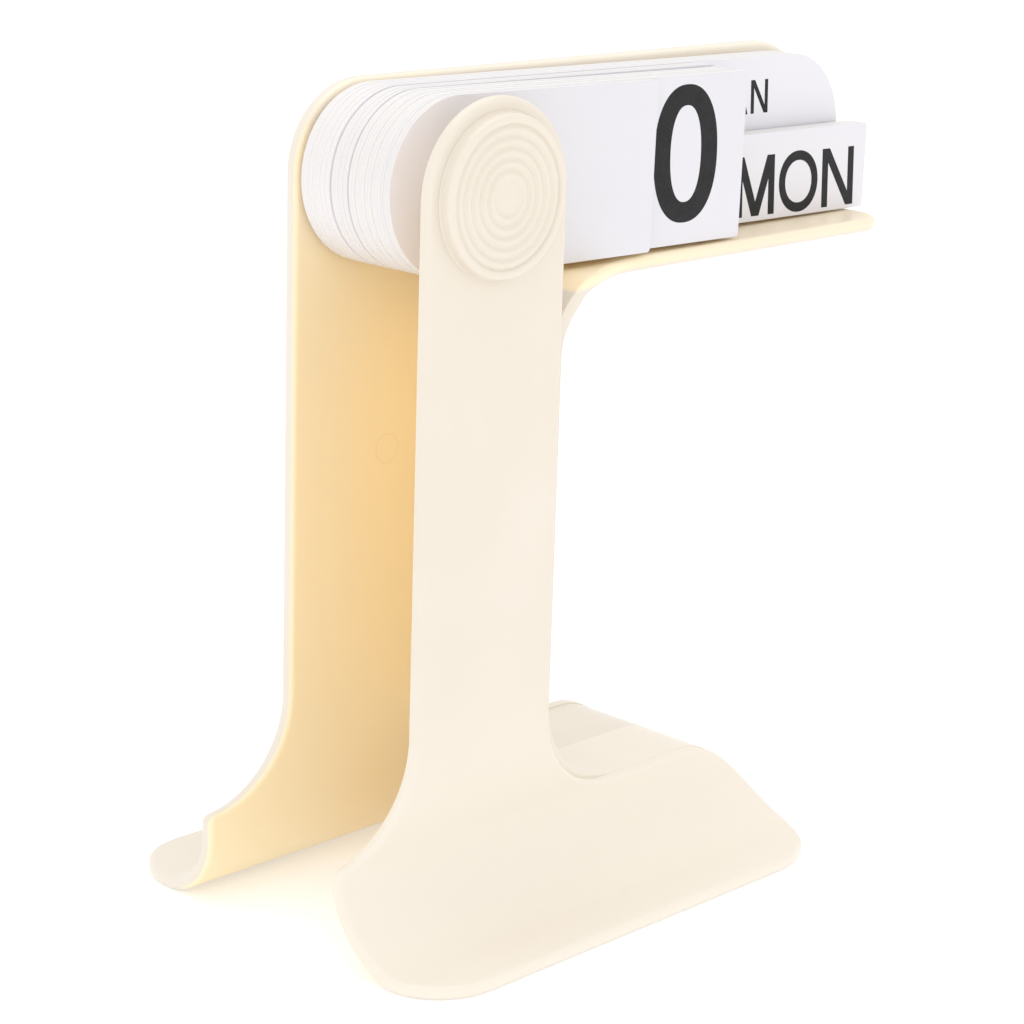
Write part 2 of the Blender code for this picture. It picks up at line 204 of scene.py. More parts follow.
def rounded_sheet(outline, thickness, rim0, rim1, place, cuts=(), arcs=4):
    """A closed wall with rounded rims.  The outline lies in (u, v) and w goes from 0 to
    thickness through the wall; rim0 and rim1 give the rounding at w = 0 and at the other
    face, as a number or as a function of (u, v).  place(u, v, w) lays it in space."""
    pts = tidy(outline)
    steps = inward(pts)
    r0 = [rim0(*p) if callable(rim0) else rim0 for p in pts]
    r1 = [rim1(*p) if callable(rim1) else rim1 for p in pts]
    bm = bmesh.new()
    loops = []

    def loop(insets, depths):
        loops.append([bm.verts.new((p[0] + m.x * s, p[1] + m.y * s, w))
                      for p, m, s, w in zip(pts, steps, insets, depths)])

    loop([r + HOLD for r in r0], [0.0] * len(pts))
    for k in range(arcs + 1):
        a = math.pi / 2 * k / arcs
        loop([r * (1 - math.sin(a)) for r in r0], [r * (1 - math.cos(a)) for r in r0])
    for k in range(arcs, -1, -1):
        a = math.pi / 2 * k / arcs
        loop([r * (1 - math.sin(a)) for r in r1], [thickness - r * (1 - math.cos(a)) for r in r1])
    loop([r + HOLD for r in r1], [thickness] * len(pts))
    n = len(pts)
    for a, b in zip(loops, loops[1:]):
        for i in range(n):
            j = (i + 1) % n
            bm.faces.new((a[i], a[j], b[j], b[i]))
    bm.faces.new(list(reversed(loops[0])))
    bm.faces.new(loops[-1])
    for v in cuts:
        bmesh.ops.bisect_plane(bm, geom=bm.verts[:] + bm.edges[:] + bm.faces[:],
                               dist=1e-4, plane_co=(0, v, 0), plane_no=(0, 1, 0))
    big = [f for f in bm.faces if len(f.verts) > 4]
    bmesh.ops.triangulate(bm, faces=big)
    for v in bm.verts:
        v.co = world(place(v.co.x, v.co.y, v.co.z))
    bmesh.ops.remove_doubles(bm, verts=bm.verts[:], dist=2e-6)
    bmesh.ops.recalc_face_normals(bm, faces=bm.faces[:])
    return bm


def as_mesh(name, bm, sharp=38.0):
    me = bpy.data.meshes.new(name)
    bm.to_mesh(me)
    bm.free()
    if sum(p.area * p.center.dot(p.normal) for p in me.polygons) < 0:
        me.flip_normals()
    me.shade_smooth()
    me.set_sharp_from_angle(angle=math.radians(sharp))
    return me


def add(name, me, *mats):
    ob = bpy.data.objects.new(name, me)
    bpy.context.scene.collection.objects.link(ob)
    me.materials.clear()
    for m in mats:
        me.materials.append(m)
    return ob


def boolean(ob, other, operation):
    """Boolean with another object, kept only when the result is closed."""
    mod = ob.modifiers.new("solid", "BOOLEAN")
    mod.object = other
    mod.operation = operation
    mod.solver = "EXACT"
    bpy.context.view_layer.update()
    deps = bpy.context.evaluated_depsgraph_get()
    me = bpy.data.meshes.new_from_object(ob.evaluated_get(deps))
    ob.modifiers.clear()
    bm = bmesh.new()
    bm.from_mesh(me)
    bmesh.ops.remove_doubles(bm, verts=bm.verts[:], dist=1e-7)
    bad = sum(1 for e in bm.edges if len(e.link_faces) != 2)
    volume = abs(bm.calc_volume())
    bm.free()
    print("boolean", operation, ob.name, "open edges", bad, "volume cm3", round(volume * 1e6, 3))
    ok = bad == 0 and volume > 0
    if ok:
        mats = list(ob.data.materials)
        ob.data = me
        me.materials.clear()
        for m in mats:
            me.materials.append(m)
        me.shade_smooth()
        me.set_sharp_from_angle(angle=math.radians(38.0))
    return ok


def even_normals(ob):
    """Normals weighted by face area, so that a flat wall shades flat right up to its rim."""
    mod = ob.modifiers.new("even", "WEIGHTED_NORMAL")
    mod.mode = "FACE_AREA"
    mod.weight = 100
    mod.keep_sharp = True
    bpy.context.view_layer.update()
    deps = bpy.context.evaluated_depsgraph_get()
    me = bpy.data.meshes.new_from_object(ob.evaluated_get(deps), preserve_all_data_layers=True, depsgraph=deps)
    ob.modifiers.clear()
    mats = list(ob.data.materials)
    ob.data = me
    me.materials.clear()
    for m in mats:
        me.materials.append(m)


# --------------------------------------------------------------- the two legs and panel
def leg_place(front):
    t = FRONT_T if front else REAR_T
    bend = BEND_R[0 if front else 1]
    inner = COLUMN_Y - t
    centre = inner + bend
    mid_r = bend - t / 2.0
    bend_len = mid_r * math.pi / 2.0
    sign = -1.0 if front else 1.0

    def place(x, h, w):
        r = bend - t + w
        s = bend - h
        if s <= 0:
            return (x, sign * (centre - r), h)
        if s <= bend_len:
            a = s / mid_r
            return (x, sign * (centre - r * math.cos(a)), bend - r * math.sin(a))
        return (x, sign * (centre + s - bend_len), bend - r)
    return place, centre, mid_r, bend_len, bend


def leg_cuts(bend, bend_len, steps=26):
    return [bend - bend_len * i / steps for i in range(steps + 1)]


def foot_end(top, h_tip, grow=0.0):
    middle = top - (top - h_tip) * 0.545
    return (arc(FOOT_END_X, middle, FOOT_END_R + grow, 90, 0, rz=top - middle) +
            arc(FOOT_END_X, middle, FOOT_END_R + grow, 0, -90, rz=middle - h_tip))


def toe_points(centre, mid_r, bend_len, bend, h_tip, tip_y, toe_r):
    pts = []
    n = 90
    start = bend - FOOT_TOP_Z + 1.0
    total = bend - h_tip
    for i in range(n + 1):
        s = total - (total - start) * i / n
        y = centre - mid_r * math.cos(s / mid_r) if s <= bend_len else centre + s - bend_len
        d = y - (tip_y - toe_r) if s > 0 else 0.0
        x = X_LEFT
        if d > 0:
            x = X_LEFT + toe_r - math.sqrt(max(0.0, toe_r ** 2 - min(d, toe_r) ** 2))
            pts.append((x, bend - s))
    return pts


def flare_points(half, r):
    cx = -half - r
    zc = FOOT_TOP_Z + r
    a0 = -math.degrees(math.acos((X_LEFT - cx) / r)) if abs(X_LEFT - cx) < r else -90.0
    return arc(cx, zc, r, a0, 0.0)


def front_leg_bm():
    place, centre, mid_r, bend_len, bend = leg_place(True)
    h_tip = bend - bend_len - (FOOT_TIP_Y[0] - centre)
    pts = arc(0, PIVOT_Z, FRONT_HALF, 180, 0)
    pts += arc(FRONT_HALF + FILLET_R, FOOT_TOP_Z + FILLET_R, FILLET_R, 180, 270)
    pts += foot_end(FOOT_TOP_Z, h_tip)
    pts += toe_points(centre, mid_r, bend_len, bend, h_tip, FOOT_TIP_Y[0], TOE_R[0])
    pts += flare_points(FRONT_HALF, FLARE_R)
    pts = split_long(soften(tidy(pts), 1.7), 6.0)

    def inner_rim(u, v):
        """Nearly square where the ribbon is bonded on behind the right-hand edge."""
        if u > 15.0 and v > 6.0 and v < 128.0:
            return 0.12
        return RIM
    return rounded_sheet(pts, FRONT_T, RIM, inner_rim, place, leg_cuts(bend, bend_len))


def rear_panel_bm():
    place, centre, mid_r, bend_len, bend = leg_place(False)
    h_tip = bend - bend_len - (FOOT_TIP_Y[1] - centre)
    top = FOOT_TOP_Z + LIP
    web, r_low, r_up = RIB_WEB_X + LIP, FILLET_R - LIP, SHELF_R - LIP
    under = SHELF_Z - LIP
    round_z = PIVOT_Z + REAR_RISE
    arm_top = round_z + REAR_HALF
    pts = arc(0, round_z, REAR_HALF, 180, 90)
    pts += arc(ARM_END + LIP - ARM_END_R, arm_top - ARM_END_R, ARM_END_R, 90, 0)
    pts += [(ARM_END + LIP, under)]
    pts += arc(web + r_up, under - r_up, r_up, 90, 180)
    pts += arc(web + r_low, top + r_low, r_low, 180, 270)
    pts += foot_end(top, h_tip, LIP)
    pts += toe_points(centre, mid_r, bend_len, bend, h_tip, FOOT_TIP_Y[1], TOE_R[1])
    pts += flare_points(REAR_HALF, FLARE_R_REAR)
    pts = split_long(soften(tidy(pts), 1.7), 6.0)

    def inner_rim(u, v):
        """A small lip beside the ribbon, a full rounding everywhere else."""
        if (u > 19.0 and v < SHELF_Z + 2.5 and v > 2.0):
            return 0.3
        return RIM
    return rounded_sheet(pts, REAR_T, RIM, inner_rim, place, leg_cuts(bend, bend_len, 20))


# ------------------------------------------------------------------------------ ribbon
def ribbon_track():
    """Runs of the ribbon's C-side face: (length, kind, data), from the arm's end down."""
    q = math.pi / 2
    return (("line", (ARM_END, SHELF_Z), (RIB_WEB_X + SHELF_R, SHELF_Z), (0.0, 1.0), ARM_END - RIB_WEB_X - SHELF_R),
            ("arc", (RIB_WEB_X + SHELF_R, SHELF_Z - SHELF_R), SHELF_R, (90, 180), 1.0, SHELF_R * q),
            ("line", (RIB_WEB_X, SHELF_Z - SHELF_R), (RIB_WEB_X, FOOT_TOP_Z + FILLET_R), (-1.0, 0.0),
             SHELF_Z - SHELF_R - FOOT_TOP_Z - FILLET_R),
            ("arc", (RIB_WEB_X + FILLET_R, FOOT_TOP_Z + FILLET_R), FILLET_R, (180, 270), 1.0, FILLET_R * q),
            ("line", (RIB_WEB_X + FILLET_R, FOOT_TOP_Z), (FOOT_END_X, FOOT_TOP_Z), (0.0, -1.0),
             FOOT_END_X - RIB_WEB_X - FILLET_R),
            ("arc", (FOOT_END_X, FOOT_TOP_Z - SHOULDER_R), SHOULDER_R, (90, 0), -1.0, SHOULDER_R * q),
            ("line", (FOOT_END_X + SHOULDER_R, FOOT_TOP_Z - SHOULDER_R), (FOOT_END_X + SHOULDER_R, 0.0),
             (-1.0, 0.0), FOOT_TOP_Z - SHOULDER_R))


def ribbon_point(t):
    """(x, z, nx, nz) at the run length t; n points from the C-side face into the wall."""
    track = ribbon_track()
    t = max(0.0, t)
    for i, run in enumerate(track):
        length = run[-1]
        if t <= length or i == len(track) - 1:
            if run[0] == "line":
                s = min(1.0, t / length)
                (x0, z0), (x1, z1), (nx, nz) = run[1], run[2], run[3]
                return (x0 + (x1 - x0) * s, z0 + (z1 - z0) * s, nx, nz)
            (cx, cz), r, (a0, a1), out = run[1], run[2], run[3], run[4]
            a = math.radians(a0 + (a1 - a0) * t / length)
            return (cx + r * math.cos(a), cz + r * math.sin(a), out * math.cos(a), out * math.sin(a))
        t -= length


def ribbon_edges(x, z):
    front_in = COLUMN_Y - FRONT_T
    rear_in = COLUMN_Y - REAR_T
    yf = -(front_in + 0.1)                                # bonded to the front leg
    yr = rear_in + REAR_T / 2.0
    if z > SHELF_Z - SHELF_R - 0.01:
        u = min(1.0, max(0.0, (x - 22.0) / 30.0))
        yf += (SHELF_FRONT_Y - yf) * u * u * (3 - 2 * u)
        over = x - (ARM_END - SHELF_CORNER_R)
        if over > 0:
            yf += SHELF_CORNER_R - math.sqrt(max(0.0, SHELF_CORNER_R ** 2 - over ** 2))
    else:
        bf, br = BEND_R
        if z < bf:
            yf = -(front_in + bf) + math.sqrt(max(0.0, (bf - 0.1) ** 2 - (bf - z) ** 2))
            yf = max(yf, -28.0)
        if z < br:
            r = br - REAR_T / 2.0
            yr = (rear_in + br) - math.sqrt(max(0.0, r * r - (br - z) ** 2))
            yr = min(yr, 26.0)
        if z < 4.0:
            cut = 6.0 * (1.0 - math.sqrt(max(0.0, 1.0 - ((4.0 - z) / 4.0) ** 2)))
            yf, yr = yf + cut, yr - cut
    return yf, yr


def ribbon_bm():
    track = ribbon_track()
    total = sum(r[-1] for r in track)
    stations, cuts, at = [], [], 0.0
    for i, run in enumerate(track):
        length = run[-1]
        n = int(math.ceil(length / 3.0)) if run[0] == "line" else 24
        if i == len(track) - 1:
            n = 3
        ts = [at + length * k / n for k in range(n)]
        if run[0] == "arc":
            cuts += [at + length * k / 24 for k in range(25)]
        stations += ts
        at += length
    # the rounded end of the shelf in plan
    stations = [SHELF_CORNER_R * (1 - math.cos(math.radians(90.0 * k / 14))) for k in range(15)] + \
               [t for t in stations if t > SHELF_CORNER_R + 1.0] + [total]
    front, rear = [], []
    for t in stations:
        x, z, _, _ = ribbon_point(t)
        yf, yr = ribbon_edges(x, z)
        front.append((yf, t))
        rear.append((yr, t))
    outline = front + list(reversed(rear))
    outline = split_long(tidy(outline), 5.0)

    def rim(u, v):
        if u > 16.0:
            return 0.1
        x, z, _, _ = ribbon_point(v)
        if z > SHELF_Z - 1.5 and x > 22.0:
            return 0.12 + (RIM - 0.12) * min(1.0, (x - 22.0) / 16.0)
        return 0.1

    def place(y, t, w):
        x, z, nx, nz = ribbon_point(t)
        return (x + nx * w, y, max(0.0, z + nz * w))
    return rounded_sheet(outline, RIB_T, rim, rim, place, cuts)


# ------------------------------------------------------------------------ turned pieces
def turned(name, profile, segments=96, sharp=38.0):
    bm = bmesh.new()
    rings = []
    for r, y in profile:
        if r < 1e-6:
            rings.append([bm.verts.new(PIVOT + Vector((0, y * MM, 0)))])
        else:
            rings.append([bm.verts.new(PIVOT + Vector((r * MM * math.cos(2 * math.pi * k / segments), y * MM,
                                                       r * MM * math.sin(2 * math.pi * k / segments))))
                          for k in range(segments)])
    for i in range(len(rings)):
        a, b = rings[i], rings[(i + 1) % len(rings)]
        for k in range(segments):
            j = (k + 1) % segments
            quad = [a[k % len(a)], a[j % len(a)], b[j % len(b)], b[k % len(b)]]
            quad = [q for n, q in enumerate(quad) if q not in quad[:n]]
            if len(quad) > 2:
                bm.faces.new(quad)
    bmesh.ops.recalc_face_normals(bm, faces=bm.faces[:])
    return as_mesh(name, bm, sharp)


def quarter(r, y, rr, ry, a0, a1, n=6):
    return [(r + rr * math.cos(math.radians(a0 + (a1 - a0) * k / n)),
             y + ry * math.sin(math.radians(a0 + (a1 - a0) * k / n))) for k in range(n + 1)]


def cap_profile():
    """A flat middle, five soft ridges, then a broad rounded rim and a short steep side."""
    base = -(COLUMN_Y + 0.01)
    top = -(COLUMN_Y + GAP + CAP_T)
    deep = 0.45
    prof = [(0.0, top + deep), (1.5, top + deep), (RING_FIRST - 0.2, top + deep)]
    last = RING_FIRST + 5 * RING_PITCH
    n = 60
    for k in range(n + 1):
        r = RING_FIRST + (last - RING_FIRST) * k / n
        wave = 0.5 * (1 - math.cos(2 * math.pi * (r - RING_FIRST) / RING_PITCH))
        prof.append((r, top + deep * (1 - wave ** 0.85)))
    prof += [(last + 0.12, top + 0.30), (last + 0.26, top + 0.11), (last + 0.45, top)]
    prof += quarter(CAP_R - 0.95, top + 0.95, 0.85, 0.95, -90, 0, 10)
    prof += [(CAP_R - 0.05, top + 1.5), (CAP_R, base - 0.40), (CAP_R + 0.06, base - 0.22), (CAP_R + 0.18, base - 0.09),
             (CAP_R + 0.34, base - 0.02), (CAP_R + 0.34, base), (SPIGOT_R, base),
             (SPIGOT_R, base + 6.6), (SPIGOT_R - 0.5, base + 7.2), (0.0, base + 7.2)]
    out = []
    for p in prof:
        if not out or math.dist(p, out[-1]) > 0.02:
            out.append(p)
    return out


def rear_cap_profile():
    base = COLUMN_Y + 0.12
    top = COLUMN_Y + GAP + 1.6
    prof = [(0.0, top), (REAR_CAP_R - 2.6, top), (REAR_CAP_R - 1.5, top)]
    prof += quarter(REAR_CAP_R - 1.3, top - 1.3, 1.3, 1.3, 90, 0, 8)
    prof += [(REAR_CAP_R, base + 0.15), (REAR_CAP_R - 0.12, base), (SPIGOT_R, base),
             (SPIGOT_R, base - 6.6), (SPIGOT_R - 0.5, base - 7.2), (0.0, base - 7.2)]
    return prof


def tube_profile(r0, r1, y0, y1, c):
    return [(r0, y0 + c), (r0 + c, y0), (r1 - c, y0), (r1 - 0.3 * c, y0 + 0.3 * c), (r1, y0 + c), (r1, y1 - c),
            (r1 - 0.3 * c, y1 - 0.3 * c), (r1 - c, y1), (r0 + c, y1), (r0, y1 - c)]


# ------------------------------------------------------------------------------- cards
def card_outline(kind, length):
    h = CARD_HALF
    pts = arc(0, 0, h, 90, 270, 3)
    pts += arc(length - 0.8, -h + 0.8, 0.8, -90, 0, 15)
    if kind == "weekday_card":
        pts += arc(length - 1.2, STEP_Z - 1.2, 1.2, 0, 90, 15)
        pts += arc(STEP_X + 1.5, STEP_Z + 1.5, 1.5, 270, 180, 18)
        pts += arc(STEP_X - 0.8, h - 0.8, 0.8, 0, 90, 15)
    elif kind == "month_card":
        pts += arc(length - MONTH_END_R, h - MONTH_END_R, MONTH_END_R, 0, 90, 3)
    else:
        pts += arc(length - 0.8, h - 0.8, 0.8, 0, 90, 15)
    return tidy(pts)


def card_bm(kind, length, thickness):
    """A die-cut card with softly rounded edges and its pivot hole.  Local millimetres:
    X along the card, Z up, front face at Y = 0, pivot at the origin."""
    outer = card_outline(kind, length)
    hole = [(HOLE_R * math.cos(2 * math.pi * k / 48), HOLE_R * math.sin(2 * math.pi * k / 48)) for k in range(48)]
    bm = bmesh.new()
    edge = 0.11
    rims = []
    for pts, sign in ((outer, 1.0), (hole, -1.0)):
        steps = inward(pts)
        loops = []
        for inset, y in ((edge + 0.2, 0.0), (edge, 0.0), (edge * 0.3, edge * 0.3), (0.0, edge),
                         (0.0, thickness - edge), (edge * 0.3, thickness - edge * 0.3), (edge, thickness),
                         (edge + 0.2, thickness)):
            loops.append([bm.verts.new((p[0] + m.x * inset * sign, y, p[1] + m.y * inset * sign))
                          for p, m in zip(pts, steps)])
        n = len(pts)
        for a, b in zip(loops, loops[1:]):
            for i in range(n):
                j = (i + 1) % n
                bm.faces.new((a[i], a[j], b[j], b[i]))
        rims.append(loops)
    for which in (0, -1):
        edges = []
        for loops in rims:
            ring = loops[which]
            for i in range(len(ring)):
                edges.append(bm.edges.get((ring[i], ring[(i + 1) % len(ring)])))
        bmesh.ops.triangle_fill(bm, use_beauty=True, use_dissolve=False, edges=edges, normal=(0, -1, 0))
    bmesh.ops.recalc_face_normals(bm, faces=bm.faces[:])
    return bm


# Printed characters.  Each is a list of closed shapes in a box with cap height 1; every
# shape is a list of points, or a pair of loops for a ring.
def slab(x0, y0, x1, y1):
    return [(x0, y0), (x1, y0), (x1, y1), (x0, y1)]


def slant(xa, ya, xb, yb, w):
    """A stroke whose ends are cut level, w wide along the line."""
    return [(xa - w / 2, ya), (xa + w / 2, ya), (xb + w / 2, yb), (xb - w / 2, yb)]


def bow(cx, cy, rx, ry, a0, a1, sx, sy, power=2.0, step=5.0):
    """Part of an oval ring between two angles; sx and sy are the stroke at the sides and
    at the top and bottom."""
    n = max(3, int(abs(a1 - a0) / step))

    def at(a, px, py):
        c, s_ = math.cos(math.radians(a)), math.sin(math.radians(a))
        return (cx + px * math.copysign(abs(c) ** (2.0 / power), c),
                cy + py * math.copysign(abs(s_) ** (2.0 / power), s_))
    outer = [at(a0 + (a1 - a0) * k / n, rx, ry) for k in range(n + 1)]
    inner = [at(a0 + (a1 - a0) * k / n, rx - sx, ry - sy) for k in range(n + 1)]
    if abs(abs(a1 - a0) - 360.0) < 1e-6:
        return (outer[:-1], inner[:-1])
    return outer + list(reversed(inner))


def letter(ch, s=0.160):
    """(width, shapes) of a capital letter with stroke s."""
    if ch == "M":
        w = 0.985
        return w, [slab(0, 0, s, 1), slab(w - s, 0, w, 1),
                   slant(w / 2, 0, s * 0.62, 1, s * 1.18), slant(w / 2, 0, w - s * 0.62, 1, s * 1.18)]
    if ch == "N":
        w = 0.86
        return w, [slab(0, 0, s, 1), slab(w - s, 0, w, 1), slant(w - s * 0.62, 0, s * 0.62, 1, s * 1.24)]
    if ch == "O":
        return 1.03, [bow(0.515, 0.5, 0.515, 0.52, 0, 360, s * 1.03, s, 2.08)]
    if ch == "A":
        w = 0.93
        return w, [slant(s * 0.56, 0, w / 2 - s * 0.03, 1, s * 1.12), slant(w - s * 0.56, 0, w / 2 + s * 0.03, 1, s * 1.12),
                   slab(0.2, 0.29, w - 0.2, 0.29 + s * 0.9)]
    if ch == "J":
        w = 0.60
        return w, [slab(w - s, 0.30, w, 1), bow(w / 2, 0.30, w / 2, 0.315, 0, -180, s, s)]
    if ch == "T":
        w = 0.86
        return w, [slab(0, 1 - s, w, 1), slab(w / 2 - s / 2, 0, w / 2 + s / 2, 1 - s * 0.5)]
    if ch == "U":
        w = 0.84
        return w, [slab(0, 0.38, s, 1), slab(w - s, 0.38, w, 1), bow(w / 2, 0.38, w / 2, 0.395, 0, -180, s, s)]
    if ch == "E":
        w = 0.76
        return w, [slab(0, 0, s, 1), slab(s * 0.5, 0, w, s), slab(s * 0.5, 1 - s, w, 1),
                   slab(s * 0.5, 0.5 - s * 0.42, w - 0.05, 0.5 + s * 0.52)]
    if ch == "F":
        w = 0.72
        return w, [slab(0, 0, s, 1), slab(s * 0.5, 1 - s, w, 1), slab(s * 0.5, 0.48 - s * 0.5, w - 0.07, 0.48 + s * 0.5)]
    if ch == "W":
        w = 1.28
        return w, [slant(0.30, 0, s * 0.58, 1, s * 1.14), slant(0.34, 0, w / 2 - 0.02, 1, s * 1.14),
                   slant(w - 0.34, 0, w / 2 + 0.02, 1, s * 1.14), slant(w - 0.30, 0, w - s * 0.58, 1, s * 1.14)]
    if ch == "D":
        w = 0.88
        return w, [slab(0, 0, s, 1), slab(s * 0.5, 0, 0.40, s), slab(s * 0.5, 1 - s, 0.40, 1),
                   bow(0.38, 0.5, w - 0.38, 0.5, -90, 90, s, s, 2.15)]
    if ch == "H":
        w = 0.84
        return w, [slab(0, 0, s, 1), slab(w - s, 0, w, 1), slab(s * 0.5, 0.5 - s * 0.4, w - s * 0.5, 0.5 + s * 0.55)]
    if ch == "I":
        return s, [slab(0, 0, s, 1)]
    if ch == "L":
        w = 0.68
        return w, [slab(0, 0, s, 1), slab(s * 0.5, 0, w, s)]
    if ch == "P":
        w = 0.80
        return w, [slab(0, 0, s, 1), slab(s * 0.5, 1 - s, 0.48, 1), slab(s * 0.5, 0.40, 0.48, 0.40 + s),
                   bow(0.46, 0.70, w - 0.46, 0.30, -90, 90, s, s, 2.1)]
    if ch == "R":
        w = 0.88
        return w, [slab(0, 0, s, 1), slab(s * 0.5, 1 - s, 0.50, 1), slab(s * 0.5, 0.43, 0.50, 0.43 + s),
                   bow(0.48, 0.715, 0.34, 0.285, -90, 90, s, s, 2.1), slant(w - s * 0.62, 0, 0.46, 0.5, s * 1.2)]
    if ch == "B":
        w = 0.80
        return w, [slab(0, 0, s, 1), slab(s * 0.5, 1 - s, 0.46, 1), slab(s * 0.5, 0.45, 0.46, 0.45 + s), slab(s * 0.5, 0, 0.46, s),
                   bow(0.44, 0.725, 0.31, 0.275, -90, 90, s, s, 2.1), bow(0.44, 0.298, w - 0.44, 0.298, -90, 90, s, s, 2.1)]
    if ch == "C":
        return 0.92, [bow(0.48, 0.5, 0.48, 0.52, 38, 322, s * 1.03, s, 2.05)]
    if ch == "G":
        return 0.97, [bow(0.49, 0.5, 0.49, 0.52, 38, 322, s * 1.03, s, 2.05), slab(0.97 - s, 0.10, 0.97, 0.52),
                      slab(0.54, 0.52 - s * 0.9, 0.97, 0.52)]
    if ch == "S":
        w = 0.80
        return w, [bow(w / 2, 0.732, w / 2 - 0.03, 0.286, 22, 262, s, s, 2.15),
                   bow(w / 2, 0.276, w / 2, 0.294, 98, -158, s, s, 2.15),
                   [(0.24, 0.55), (0.30, 0.43 + s * 0.05), (0.58, 0.44), (0.52, 0.57)]]
    if ch == "V":
        w = 0.90
        return w, [slant(w / 2 - s * 0.03, 0, s * 0.56, 1, s * 1.12), slant(w / 2 + s * 0.03, 0, w - s * 0.56, 1, s * 1.12)]
    if ch == "Y":
        w = 0.90
        return w, [slab(w / 2 - s / 2, 0, w / 2 + s / 2, 0.46), slant(w / 2, 0.38, s * 0.6, 1, s * 1.2),
                   slant(w / 2, 0.38, w - s * 0.6, 1, s * 1.2)]
    return 0.3, []


def digit(ch, s=0.190, t=0.150):
    """(width, shapes) of a condensed heavy figure; s is the upright stroke, t the level one."""
    w = 0.735
    if ch == "0":
        return w, [bow(w / 2, 0.5, w / 2, 0.5, 0, 360, s, t, 2.25)]
    if ch == "1":
        return w, [slab(0.33, 0, 0.33 + s, 1), [(0.10, 0.74), (0.10, 0.88), (0.36, 1.0), (0.40, 1.0), (0.40, 0.86)]]
    if ch == "2":
        return w, [bow(w / 2, 0.70, w / 2 - 0.01, 0.30, -22, 172, s, t, 2.15),
                   [(0.0, 0.0), (0.0, 0.15), (0.50, 0.63), (0.695, 0.60), (0.60, 0.46), (0.24, t * 0.9)], slab(0.0, 0, w - 0.01, t)]
    if ch == "3":
        return w, [bow(0.355, 0.735, 0.33, 0.265, -72, 168, s, t, 2.15), bow(0.355, 0.285, 0.37, 0.285, -168, 80, s, t, 2.15),
                   slab(0.25, 0.46, 0.45, 0.46 + t)]
    if ch == "4":
        return w, [slab(0.44, 0, 0.44 + s * 0.98, 1), slab(0.0, 0.21, w + 0.02, 0.21 + t),
                   [(0.0, 0.24), (0.0, 0.24 + t * 1.1), (0.42, 1.0), (0.50, 1.0), (0.50, 0.80), (0.19, 0.24)]]
    if ch == "5":
        return w, [slab(0.09, 1 - t, w - 0.05, 1), [(0.03, 0.46), (0.09, 1.0), (0.27, 1.0), (0.20, 0.46)],
                   bow(0.355, 0.325, 0.37, 0.325, -168, 128, s, t, 2.15)]
    if ch == "6":
        return w, [bow(w / 2, 0.315, w / 2, 0.315, 0, 360, s, t, 2.15), bow(w / 2 + 0.01, 0.5, w / 2 + 0.01, 0.5, 40, 190, s, t, 2.2)]
    if ch == "7":
        return w, [slab(0.0, 1 - t, w, 1), [(0.16, 0.0), (0.345, 0.0), (0.46, 0.42), (w, 0.86), (w, 0.92), (0.50, 0.92), (0.26, 0.44)]]
    if ch == "8":
        return w, [bow(w / 2, 0.742, w / 2 - 0.035, 0.258, 0, 360, s * 0.96, t * 0.92, 2.15),
                   bow(w / 2, 0.283, w / 2, 0.283, 0, 360, s, t * 0.95, 2.15)]
    if ch == "9":
        w_, shapes = digit("6", s, t)
        flip = []
        for sh in shapes:
            if isinstance(sh, tuple):
                flip.append(tuple([(w - x, 1 - y) for x, y in part] for part in sh))
            else:
                flip.append([(w - x, 1 - y) for x, y in sh])
        return w, flip
    return 0.3, []


def word_bm(text, draw, height, width_scale, base, centre=None, left=None, tracking=0.12, lean=0.0, slope=0.0):
    """Printed characters as thin closed shapes in card coordinates (millimetres), just
    proud of the card's face."""
    glyphs, x = [], 0.0
    for ch in text:
        w, shapes = draw(ch)
        glyphs.append((x, shapes))
        x += w + tracking
    total = (x - tracking) * height * width_scale
    start = left if left is not None else centre - total / 2
    bm = bmesh.new()
    layer = 0

    def lay(p, gx, y):
        u, v = start + (gx + p[0]) * height * width_scale, p[1] * height
        return (u - lean * v, y, base + v - slope * (u - start))

    for gx, shapes in glyphs:
        for shape in shapes:
            proud = -0.018 - 0.0008 * (layer % 6)
            layer += 1
            if isinstance(shape, tuple):
                n = len(shape[0])
                rings = [[bm.verts.new(lay(p, gx, y)) for p in part] for part, y in
                         ((shape[0], proud), (shape[0], 0.012), (shape[1], 0.012), (shape[1], proud))]
                for a, b in zip(rings, rings[1:] + rings[:1]):
                    for i in range(n):
                        j = (i + 1) % n
                        bm.faces.new((a[i], a[j], b[j], b[i]))
            else:
                n = len(shape)
                rings = [[bm.verts.new(lay(p, gx, y)) for p in shape] for y in (proud, 0.012)]
                caps = [bm.faces.new(rings[0]), bm.faces.new(list(reversed(rings[1])))]
                for i in range(n):
                    j = (i + 1) % n
                    bm.faces.new((rings[0][i], rings[0][j], rings[1][j], rings[1][i]))
                bmesh.ops.triangulate(bm, faces=[f for f in caps if len(f.verts) > 4])
    bmesh.ops.recalc_face_normals(bm, faces=bm.faces[:])
    return bm


